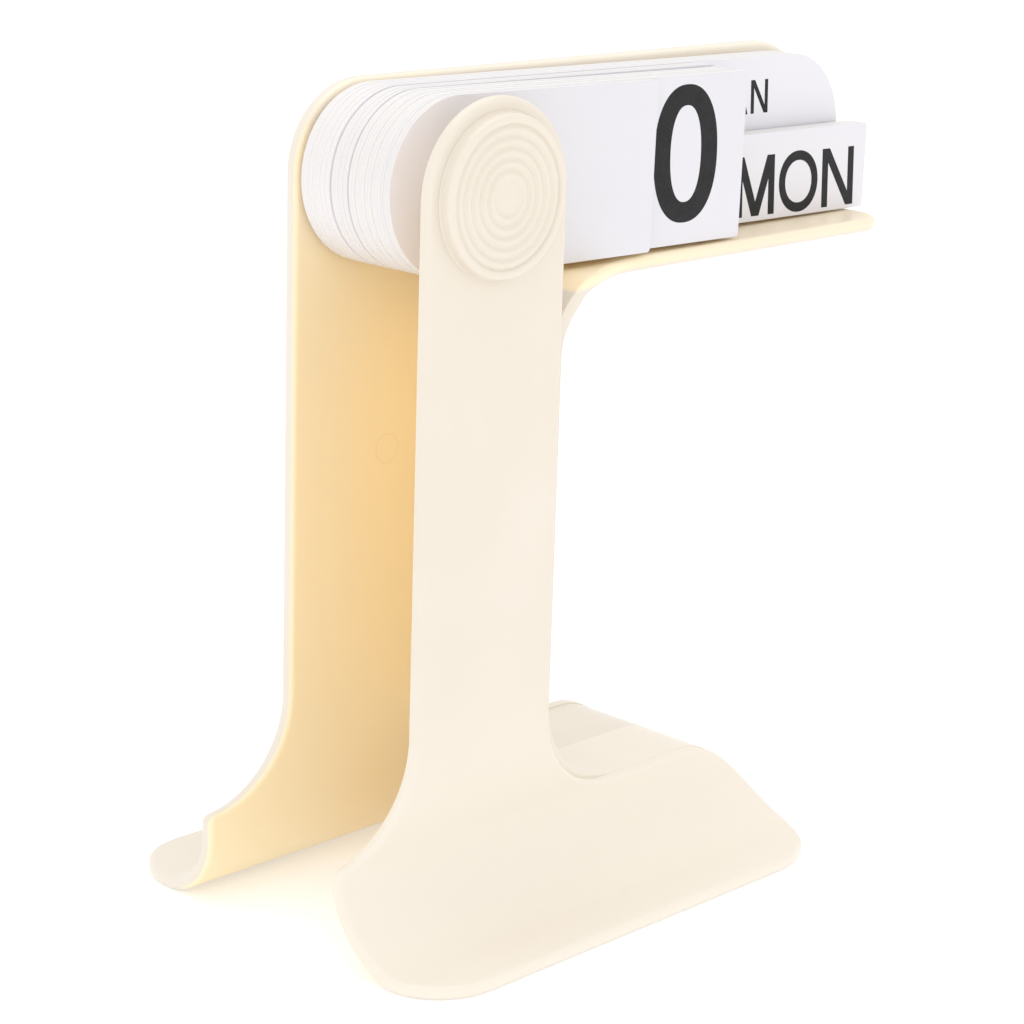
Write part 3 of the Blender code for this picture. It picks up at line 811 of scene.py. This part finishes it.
# --------------------------------------------------------------------------- materials
class Nodes:
    """Small helper for building a material's node tree."""

    def __init__(self, name):
        self.mat = bpy.data.materials.new(name)
        self.mat.use_nodes = True
        self.tree = self.mat.node_tree
        self.bsdf = self.tree.nodes["Principled BSDF"]
        self.coord = self.tree.nodes.new("ShaderNodeTexCoord").outputs["Object"]

    def node(self, kind, **inputs):
        n = self.tree.nodes.new(kind)
        for key, value in inputs.items():
            if hasattr(n, key) and key not in n.inputs:
                setattr(n, key, value)
        return n

    def link(self, a, b):
        self.tree.links.new(a, b)

    def noise(self, scale, detail=2.0, rough=0.5, stretch=None):
        n = self.tree.nodes.new("ShaderNodeTexNoise")
        n.inputs["Scale"].default_value = scale
        n.inputs["Detail"].default_value = detail
        n.inputs["Roughness"].default_value = rough
        if stretch:
            m = self.tree.nodes.new("ShaderNodeMapping")
            m.inputs["Scale"].default_value = stretch
            self.link(self.coord, m.inputs["Vector"])
            self.link(m.outputs["Vector"], n.inputs["Vector"])
        else:
            self.link(self.coord, n.inputs["Vector"])
        return n.outputs["Fac"]

    def remap(self, value, lo, hi, out_lo, out_hi, smooth=True):
        n = self.tree.nodes.new("ShaderNodeMapRange")
        n.interpolation_type = "SMOOTHSTEP" if smooth else "LINEAR"
        n.inputs["From Min"].default_value = lo
        n.inputs["From Max"].default_value = hi
        n.inputs["To Min"].default_value = out_lo
        n.inputs["To Max"].default_value = out_hi
        self.link(value, n.inputs["Value"])
        return n.outputs["Result"]

    def math(self, op, a, b=None):
        n = self.tree.nodes.new("ShaderNodeMath")
        n.operation = op
        for i, v in enumerate((a, b)):
            if v is None:
                continue
            if isinstance(v, (int, float)):
                n.inputs[i].default_value = v
            else:
                self.link(v, n.inputs[i])
        return n.outputs["Value"]

    def mix(self, fac, a, b, blend="MIX"):
        n = self.tree.nodes.new("ShaderNodeMix")
        n.data_type = "RGBA"
        n.blend_type = blend
        for key, v in (("Factor", fac), ("A", a), ("B", b)):
            sock = [s for s in n.inputs if s.name == key and s.enabled][0]
            if isinstance(v, (int, float)):
                sock.default_value = v
            elif isinstance(v, tuple):
                sock.default_value = (*v, 1.0)
            else:
                self.link(v, sock)
        return [s for s in n.outputs if s.enabled][0]

    def bump(self, height, strength, distance, normal=None):
        n = self.tree.nodes.new("ShaderNodeBump")
        n.inputs["Strength"].default_value = strength
        n.inputs["Distance"].default_value = distance
        self.link(height, n.inputs["Height"])
        if normal is not None:
            self.link(normal, n.inputs["Normal"])
        return n.outputs["Normal"]

    def scratches(self, scale, width, seed):
        """Fine straight hairlines in two directions."""
        out = None
        for k, ang in enumerate((0.35, -0.9)):
            m = self.tree.nodes.new("ShaderNodeMapping")
            m.inputs["Location"].default_value = (seed, seed * 0.7 + k, seed * 0.3)
            m.inputs["Rotation"].default_value = (ang, ang * 0.7, ang * 1.3)
            m.inputs["Scale"].default_value = (scale * 0.035, scale * 0.035, scale)
            self.link(self.coord, m.inputs["Vector"])
            n = self.tree.nodes.new("ShaderNodeTexNoise")
            n.inputs["Scale"].default_value = 1.0
            n.inputs["Detail"].default_value = 1.0
            self.link(m.outputs["Vector"], n.inputs["Vector"])
            line = self.remap(self.math("ABSOLUTE", self.math("SUBTRACT", n.outputs["Fac"], 0.5)), 0.0, width, 1.0, 0.0)
            out = line if out is None else self.math("MAXIMUM", out, line)
        mask = self.remap(self.noise(45.0), 0.52, 0.68, 0.0, 1.0)
        return self.math("MULTIPLY", out, mask)


def cream_plastic(name, light, deep, rough=0.36, paint_warm_inside=False):
    m = Nodes(name)
    blotch = m.noise(28.0, 3.0, 0.55)
    fine = m.noise(260.0, 2.0, 0.6)
    colour = m.mix(m.remap(blotch, 0.3, 0.7, 0.0, 1.0), light, deep)
    colour = m.mix(m.remap(fine, 0.35, 0.65, 0.0, 0.05), colour, tuple(c * 0.93 for c in light))
    geo = m.tree.nodes.new("ShaderNodeNewGeometry")
    if paint_warm_inside:
        # Painted light: between the two walls of the column the colour is painted a deeper, warmer gold, the warm light
        # that bounces between the walls.
        sep = m.tree.nodes.new("ShaderNodeSeparateXYZ")
        m.link(m.coord, sep.inputs["Vector"])
        y_in = (COLUMN_Y - 2.35 - MID_Y) * MM
        front = m.remap(sep.outputs["Y"], -(COLUMN_Y - 1.9 + MID_Y) * MM, -(COLUMN_Y - 2.5 + MID_Y) * MM, 0.0, 1.0)
        back = m.remap(sep.outputs["Y"], (COLUMN_Y - 2.7 - MID_Y) * MM, (COLUMN_Y - 2.1 - MID_Y) * MM, 1.0, 0.0)
        between = m.math("MULTIPLY", front, back)
        right = m.remap(sep.outputs["X"], (RIB_WEB_X - 1.6 - MID_X) * MM, (RIB_WEB_X - 0.6 - MID_X) * MM, 1.0, 0.0)
        # above the shelf the painted warm light fades out slowly along the panel
        above = m.remap(sep.outputs["Z"], (SHELF_Z + 0.5) * MM, (SHELF_Z + 3.0) * MM, 0.0, 1.0)
        soft = m.remap(sep.outputs["X"], (RIB_WEB_X - 20.0 - MID_X) * MM, (RIB_WEB_X + 16.0 - MID_X) * MM, 1.0, 0.0)
        right = m.math("ADD", m.math("MULTIPLY", right, m.math("SUBTRACT", 1.0, above)), m.math("MULTIPLY", soft, above))
        # the shelf is painted warm the same way where the cards lie close above it: painted light over their shadow
        shelf_z = m.remap(sep.outputs["Z"], (SHELF_Z + 0.4) * MM, (SHELF_Z + 1.4) * MM, 0.0, 1.0)
        shelf_low = m.remap(sep.outputs["Z"], (SHELF_Z + 5.0) * MM, (SHELF_Z + 9.0) * MM, 1.0, 0.0)
        shelf_x = m.remap(sep.outputs["X"], (20.0 - MID_X) * MM, (95.0 - MID_X) * MM, 0.95, 0.45)
        shelf = m.math("MULTIPLY", m.math("MULTIPLY", shelf_z, shelf_low), shelf_x)
        # the flared feet keep the painted warm light on the side that faces the other wall
        normal = m.tree.nodes.new("ShaderNodeSeparateXYZ")
        m.link(geo.outputs["Normal"], normal.inputs["Vector"])
        side = m.math("SIGN", sep.outputs["Y"])
        inward = m.math("MULTIPLY", m.math("MULTIPLY", normal.outputs["Y"], side), -1.0)
        flare = m.math("MULTIPLY", m.remap(inward, 0.10, 0.45, 0.0, 1.0),
                       m.remap(sep.outputs["Z"], 0.024, 0.036, 1.0, 0.0))
        between = m.math("MAXIMUM", between, flare)
        # the painted warm light is weaker near the top of the panel
        crown = m.remap(sep.outputs["Z"], 0.146, 0.158, 1.0, 0.25)
        right = m.math("MULTIPLY", right, crown)
        inside = m.math("MULTIPLY", between, m.math("MAXIMUM", right, shelf))
        # mix in the painted warm bounce light where the masks meet
        colour = m.mix(m.math("MULTIPLY", inside, PAINTED_WARM_BOUNCE[0]), colour, PAINTED_WARM_BOUNCE[1])
        # the feet: painted a shade lighter outside, a painted highlight, and painted deeper between the walls, painted
        # shade
        foot = m.remap(sep.outputs["Z"], 0.018, 0.060, 1.0, 0.0)
        pale = m.math("MULTIPLY", foot, m.math("SUBTRACT", 1.0, inside))
        pale = m.math("MULTIPLY", pale, m.remap(side, -0.5, 0.5, 1.0, 0.0))
        colour = m.mix(pale, colour, FOOT_PAINTED_LIGHT)
        # painted shade: a deeper gold low down between the walls
        deep_x = m.remap(sep.outputs["X"], (-14.0 - MID_X) * MM, (8.0 - MID_X) * MM, 0.0, 1.0)
        deep_z = m.remap(sep.outputs["Z"], 0.050, 0.118, 0.35, 1.0)
        base_painted_shade = m.math("MULTIPLY", m.remap(sep.outputs["Z"], 0.012, 0.034, 0.8, 0.0), m.math("MULTIPLY", inside, deep_x))
        colour = m.mix(base_painted_shade, colour, (0.930, 0.745, 0.460))
        # painted glow: emission deep in the column that lifts its shade
        painted_glow = m.mix(m.math("MULTIPLY", inside, m.math("MULTIPLY", deep_x, deep_z)), (0.0, 0.0, 0.0), COLUMN_PAINTED_GLOW)
        # painted glow along the top rim of the panel, a painted highlight
        rim = m.math("MULTIPLY", between, m.remap(sep.outputs["Z"], 0.1535, 0.1590, 0.0, 1.0))
        painted_glow = m.mix(rim, painted_glow, (0.120, 0.106, 0.075))
        m.link(painted_glow, m.bsdf.inputs["Emission Color"])
        m.bsdf.inputs["Emission Strength"].default_value = 1.0
        # the faint round mark an ejector pin leaves on the inner face of the rear wall
        dx = m.math("SUBTRACT", sep.outputs["X"], (PIN_MARK[0] - MID_X) * MM)
        dz = m.math("SUBTRACT", sep.outputs["Z"], PIN_MARK[1] * MM)
        r = m.math("SQRT", m.math("ADD", m.math("MULTIPLY", dx, dx), m.math("MULTIPLY", dz, dz)))
        ring = m.remap(m.math("ABSOLUTE", m.math("SUBTRACT", r, PIN_MARK[2] * MM)), 0.0, 0.0003, 1.0, 0.0)
        ring = m.math("MULTIPLY", m.math("MULTIPLY", ring, between), m.remap(side, -0.5, 0.5, 0.0, 0.30))
        colour = m.mix(ring, colour, (0.800, 0.610, 0.350))
    wear = m.remap(geo.outputs["Pointiness"], 0.52, 0.58, 0.0, 0.12)
    colour = m.mix(wear, colour, tuple(min(1.0, c * 1.04 + 0.01) for c in light))
    hair = m.scratches(900.0, 0.012, 3.1)
    m.link(colour, m.bsdf.inputs["Base Color"])
    r = m.math("ADD", m.remap(m.noise(75.0, 4.0, 0.6), 0.25, 0.75, rough - 0.05, rough + 0.06),
               m.math("MULTIPLY", hair, 0.10))
    r = m.math("SUBTRACT", r, m.math("MULTIPLY", wear, 0.10))
    m.link(r, m.bsdf.inputs["Roughness"])
    n1 = m.bump(m.noise(1500.0, 3.0, 0.6), 0.10, 0.00004)
    n2 = m.bump(m.noise(140.0, 2.0, 0.5), 0.05, 0.0004, n1)
    n3 = m.bump(hair, 0.12, 0.00002, n2)
    m.link(n3, m.bsdf.inputs["Normal"])
    m.bsdf.inputs["IOR"].default_value = 1.50
    m.bsdf.inputs["Specular IOR Level"].default_value = 0.5
    return m.mat


def card_plastic(name, tones):
    m = Nodes(name)
    tone = m.remap(m.noise(35.0, 3.0), 0.3, 0.7, 0.0, 1.0)
    colour = m.mix(tone, tones[0], tones[1])
    # the die-cut edges are painted lighter and warmer than the faces, painted light, over a fine grain
    geo = m.tree.nodes.new("ShaderNodeNewGeometry")
    sep = m.tree.nodes.new("ShaderNodeSeparateXYZ")
    m.link(geo.outputs["True Normal"], sep.inputs["Vector"])
    edge = m.remap(m.math("ABSOLUTE", sep.outputs["Y"]), 0.75, 0.25, 0.0, 1.0)
    grain = m.noise(420.0, 3.0, 0.6, (1.0, 6.0, 1.0))
    colour = m.mix(m.math("MULTIPLY", edge, m.remap(grain, 0.3, 0.7, 0.25, 1.0)), colour, tones[2])
    m.link(colour, m.bsdf.inputs["Base Color"])
    where = m.tree.nodes.new("ShaderNodeSeparateXYZ")
    m.link(m.coord, where.inputs["Vector"])
    # painted glow: emission at the round end of each card that lifts the shade there
    end = m.remap(where.outputs["X"], (4.0 - MID_X) * MM, (-12.0 - MID_X) * MM, 0.0, 1.0)
    painted_glow = m.mix(m.math("MULTIPLY", end, m.math("SUBTRACT", 1.0, edge)), (0.0, 0.0, 0.0), CARD_END_PAINTED_GLOW)
    m.link(painted_glow, m.bsdf.inputs["Emission Color"])
    m.bsdf.inputs["Emission Strength"].default_value = 1.0
    hair = m.scratches(800.0, 0.014, 7.7)
    r = m.math("ADD", m.remap(m.noise(60.0, 3.0), 0.3, 0.7, 0.34, 0.44), m.math("MULTIPLY", edge, 0.18))
    r = m.math("ADD", r, m.math("MULTIPLY", hair, 0.12))
    m.link(r, m.bsdf.inputs["Roughness"])
    n1 = m.bump(m.noise(2200.0, 2.0, 0.6), 0.08, 0.00003)
    n2 = m.bump(m.noise(55.0, 1.5), 0.05, 0.0006, n1)
    n3 = m.bump(hair, 0.15, 0.00002, n2)
    m.link(n3, m.bsdf.inputs["Normal"])
    m.bsdf.inputs["IOR"].default_value = 1.52
    return m.mat


def ink():
    m = Nodes("print_black")
    grain = m.noise(1800.0, 3.0, 0.7)
    colour = m.mix(m.remap(grain, 0.35, 0.7, 0.0, 1.0), (0.008, 0.008, 0.009), (0.015, 0.015, 0.017))
    m.link(colour, m.bsdf.inputs["Base Color"])
    m.link(m.remap(m.noise(500.0, 3.0), 0.3, 0.7, 0.42, 0.55), m.bsdf.inputs["Roughness"])
    m.link(m.bump(grain, 0.12, 0.00002), m.bsdf.inputs["Normal"])
    m.bsdf.inputs["IOR"].default_value = 1.45
    m.bsdf.inputs["Specular IOR Level"].default_value = 0.28
    return m.mat


def nylon(name, tint):
    m = Nodes(name)
    colour = m.mix(m.remap(m.noise(120.0, 3.0), 0.3, 0.7, 0.0, 1.0), tint, tuple(c * 0.93 for c in tint))
    m.link(colour, m.bsdf.inputs["Base Color"])
    lathe = m.noise(1400.0, 2.0, 0.5, (0.05, 1.0, 0.05))
    m.link(m.remap(lathe, 0.3, 0.7, 0.38, 0.50), m.bsdf.inputs["Roughness"])
    m.link(m.bump(lathe, 0.15, 0.00003), m.bsdf.inputs["Normal"])
    m.bsdf.inputs["IOR"].default_value = 1.53
    return m.mat


def floor_material():
    m = Nodes("studio_floor")
    colour = m.mix(m.remap(m.noise(3.0, 2.0), 0.3, 0.7, 0.0, 1.0), FLOOR[0], FLOOR[1])
    m.link(colour, m.bsdf.inputs["Base Color"])
    m.link(m.remap(m.noise(40.0, 3.0), 0.3, 0.7, 0.80, 0.9), m.bsdf.inputs["Roughness"])
    m.bsdf.inputs["Specular IOR Level"].default_value = 0.2
    m.bsdf.inputs["Emission Color"].default_value = (1.0, 1.0, 1.0, 1.0)
    m.bsdf.inputs["Emission Strength"].default_value = FLOOR_GLOW
    return m.mat


# Colours are linear
CREAM_LIGHT = (0.788, 0.726, 0.634)
CREAM_DEEP = (0.770, 0.699, 0.596)
# painted warm bounce light between the column's walls: mix amount, colour
PAINTED_WARM_BOUNCE = (0.95, (0.970, 0.822, 0.550))
COLUMN_PAINTED_GLOW = (0.070, 0.036, 0.003)     # painted glow deep in the column, emission standing in for light
PIN_MARK = (7.6, 86.2, 3.0)
# painted highlight on the outside of the feet
FOOT_PAINTED_LIGHT = (0.835, 0.768, 0.665)
# the third tone of each card set is the edge colour, painted lighter and warmer than the faces: painted light
PVC_FRONT = ((0.732, 0.718, 0.750), (0.720, 0.706, 0.740), (0.790, 0.765, 0.715))
# the weekday and month cards get lighter copies of the same white, painted light where they sit in shade behind the
# units card
PVC_WEEK_PAINTED_LIGHTER = ((0.752, 0.738, 0.770), (0.740, 0.726, 0.760), (0.770, 0.750, 0.705))
PVC_MONTH_PAINTED_LIGHTER = ((0.772, 0.758, 0.790), (0.760, 0.746, 0.780), (0.785, 0.760, 0.712))
CARD_END_PAINTED_GLOW = (0.110, 0.088, 0.084)   # painted glow at the round end of the cards
FLOOR = ((0.86, 0.86, 0.862), (0.85, 0.85, 0.855))
FLOOR_GLOW = 0.30
WORLD_STRENGTH = 1.0


# ------------------------------------------------------------------------------- build
def build():
    abs_leg = cream_plastic("abs_cream_leg", CREAM_LIGHT, CREAM_DEEP, 0.36, True)
    abs_frame = cream_plastic("abs_cream_frame", CREAM_LIGHT, CREAM_DEEP, 0.38, True)
    abs_cap = cream_plastic("abs_cream_cap", CREAM_LIGHT, CREAM_DEEP, 0.33)
    pvc_front = card_plastic("pvc_white_front", PVC_FRONT)
    # the weekday and month materials are the same white painted lighter, painted light
    pvc_by_kind = {"tens_card": pvc_front, "units_card": pvc_front, "weekday_card": card_plastic("pvc_white_week_painted_lighter", PVC_WEEK_PAINTED_LIGHTER),
                "month_card": card_plastic("pvc_white_month_painted_lighter", PVC_MONTH_PAINTED_LIGHTER)}
    black = ink()

    bore = turned("bore", [(0, -30), (HOLE_R, -30), (HOLE_R, 30), (0, 30)], 64)
    bore_ob = add("bore_tool", bore)

    leg = add("front_leg_moulding", as_mesh("front_leg_moulding", front_leg_bm()), abs_leg)
    boolean(leg, bore_ob, "DIFFERENCE")
    even_normals(leg)
    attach(leg, "stand")
    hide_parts("front_leg")

    panel = add("rear_frame_moulding", as_mesh("rear_frame_moulding", rear_panel_bm()), abs_frame)
    ribbon = add("ribbon_tool", as_mesh("ribbon_tool", ribbon_bm()), abs_frame)
    if boolean(panel, ribbon, "UNION"):
        bpy.data.objects.remove(ribbon, do_unlink=True)
    else:
        ribbon.name = "ribbon_moulding"
        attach(ribbon, "stand")
    boolean(panel, bore_ob, "DIFFERENCE")
    even_normals(panel)
    bpy.data.objects.remove(bore_ob, do_unlink=True)
    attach(panel, "stand")
    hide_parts("rear_frame")

    for name, node, me, mat, slot in (
            ("pivot_cap_ringed", "pivot_cap", turned("pivot_cap_ringed", cap_profile(), 144, 50), abs_cap, "abs_cream"),
            ("rear_cap_button", "rear_cap", turned("rear_cap_button", rear_cap_profile(), 96), abs_cap, "abs_cream"),
            ("axle_tube", "axle", turned("axle_tube", tube_profile(AXLE_BORE_R, AXLE_R, -COLUMN_Y + 0.2,
                                                                    COLUMN_Y - 0.2, 0.25), 64),
             nylon("nylon_axle", (0.78, 0.77, 0.74)), "nylon"),
            ("spacer_sleeve", "stack_spacer",
             turned("spacer_sleeve", tube_profile(HOLE_R, 6.5, -(COLUMN_Y - FRONT_T - GAP), GROUPS[0][3] - GAP, 0.35), 64),
             nylon("nylon_spacer", (0.76, 0.75, 0.72)), "nylon")):
        ob = add(name, me, mat)
        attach(ob, "stand")
        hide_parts(node)

    for kind, count, length, y_first, pitch, droop in GROUPS:
        blank = card_bm(kind, length, pitch - CARD_GAP)
        plain = bpy.data.meshes.new("blank_" + kind)
        blank.to_mesh(plain)
        blank.free()
        turn = Matrix.Rotation(math.radians(droop), 4, "Y")
        for i in range(count):
            if kind == "tens_card":
                label, text = TENS[i], (TENS[i] if TENS[i] != "blank" else "")
            elif kind == "units_card":
                label = text = str(i)
            elif kind == "weekday_card":
                label, text = str(i + 1), DAYS[i]
            else:
                label, text = "%02d" % (i + 1), MONTHS[i]
            name = kind + "_" + label
            bm = bmesh.new()
            bm.from_mesh(plain)
            n_card = len(bm.faces)
            if text:
                if kind == "tens_card":
                    pb = word_bm(text, digit, 28.3, 1.0, -12.75, centre=36.5, lean=0.03)
                elif kind == "units_card":
                    pb = word_bm(text, digit, 28.3, 0.945, -12.85, centre=68.1, lean=0.03)
                elif kind == "weekday_card":
                    pb = word_bm(text, letter, 13.05, 1.0, -16.15, left=95.8, tracking=0.12, lean=0.06, slope=0.008)
                else:
                    pb = word_bm(text, letter, 7.25, 0.92, 5.1, centre=101.4, tracking=0.155, lean=0.06, slope=0.0)
                tmp = bpy.data.meshes.new("tmp")
                pb.to_mesh(tmp)
                pb.free()
                bm.from_mesh(tmp)
                bpy.data.meshes.remove(tmp)
            bm.faces.ensure_lookup_table()
            for k, f in enumerate(bm.faces):
                f.material_index = 0 if k < n_card else 1
            # every card behind the front one sits a hair shorter or lower than its neighbour
            loose = 1.0 - 0.0065 * ((i * 7 + count) % 5) / 4.0 if i else 1.0
            bm.transform(Matrix.Diagonal((loose, 1.0, loose, 1.0)))
            place = Matrix.Translation(PIVOT + Vector((0, (y_first + pitch * i) * MM, 0))) @ turn @ Matrix.Scale(MM, 4)
            bm.transform(place)
            me = bpy.data.meshes.new(name + "_printed")
            bm.to_mesh(me)
            bm.free()
            me.shade_smooth()
            me.set_sharp_from_angle(angle=math.radians(38.0))
            ob = bpy.data.objects.new(name + "_printed", me)
            bpy.context.scene.collection.objects.link(ob)
            me.materials.append(pvc_by_kind[kind])
            me.materials.append(black)
            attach(ob, name + "_body")
            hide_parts(name)
        bpy.data.meshes.remove(plain)


def area_light(name, place, target, size, power, colour=(1, 1, 1)):
    data = bpy.data.lights.new(name, "AREA")
    data.shape = "RECTANGLE"
    data.size, data.size_y = size
    data.energy = power
    data.color = colour
    ob = bpy.data.objects.new(name, data)
    bpy.context.scene.collection.objects.link(ob)
    ob.location = place
    ob.rotation_mode = "QUATERNION"
    ob.rotation_quaternion = (Vector(target) - Vector(place)).to_track_quat("-Z", "Y")
    return ob


def studio():
    bm = bmesh.new()
    n, half = 24, 4.0
    grid = [[bm.verts.new((-half + 2 * half * i / n, -half + 2 * half * j / n, 0.0)) for i in range(n + 1)]
            for j in range(n + 1)]
    for j in range(n):
        for i in range(n):
            bm.faces.new((grid[j][i], grid[j][i + 1], grid[j + 1][i + 1], grid[j + 1][i]))
    me = bpy.data.meshes.new("studio_floor")
    bm.to_mesh(me)
    bm.free()
    floor = add("studio_floor", me, floor_material())
    floor.location = (0, 0, -0.0002)

    w = bpy.data.worlds.new("studio")
    bpy.context.scene.world = w
    w.use_nodes = True
    bg = w.node_tree.nodes["Background"]
    bg.inputs["Color"].default_value = (1.0, 1.0, 1.0, 1.0)
    bg.inputs["Strength"].default_value = WORLD_STRENGTH

    area_light("key_left", (-0.95, -0.55, 0.85), (0, 0, 0.07), (0.9, 0.9), 1.3)
    area_light("fill_front", (0.35, -1.1, 0.55), (0, 0, 0.08), (0.9, 0.7), 0.5)
    area_light("top_soft", (0.1, 0.2, 1.2), (0, 0, 0.1), (0.9, 0.9), 3.0)

    cam_data = bpy.data.cameras.new("photo_view")
    cam_data.lens = 98.40989
    cam_data.sensor_width = 36.0
    cam_data.clip_start = 0.01
    cam_data.clip_end = 50.0
    cam = bpy.data.objects.new("photo_view", cam_data)
    bpy.context.scene.collection.objects.link(cam)
    rows = ((0.699878, 0.174347, -0.692658, -0.415616),
            (-0.713613, 0.212037, -0.667680, -0.375897),
            (0.030461, 0.961584, 0.272816, 0.227301),
            (0.0, 0.0, 0.0, 1.0))
    cam.matrix_world = Matrix(rows)
    bpy.context.scene.camera = cam
    bpy.context.scene.view_settings.view_transform = "Standard"


build()
studio()

bpy.context.view_layer.update()
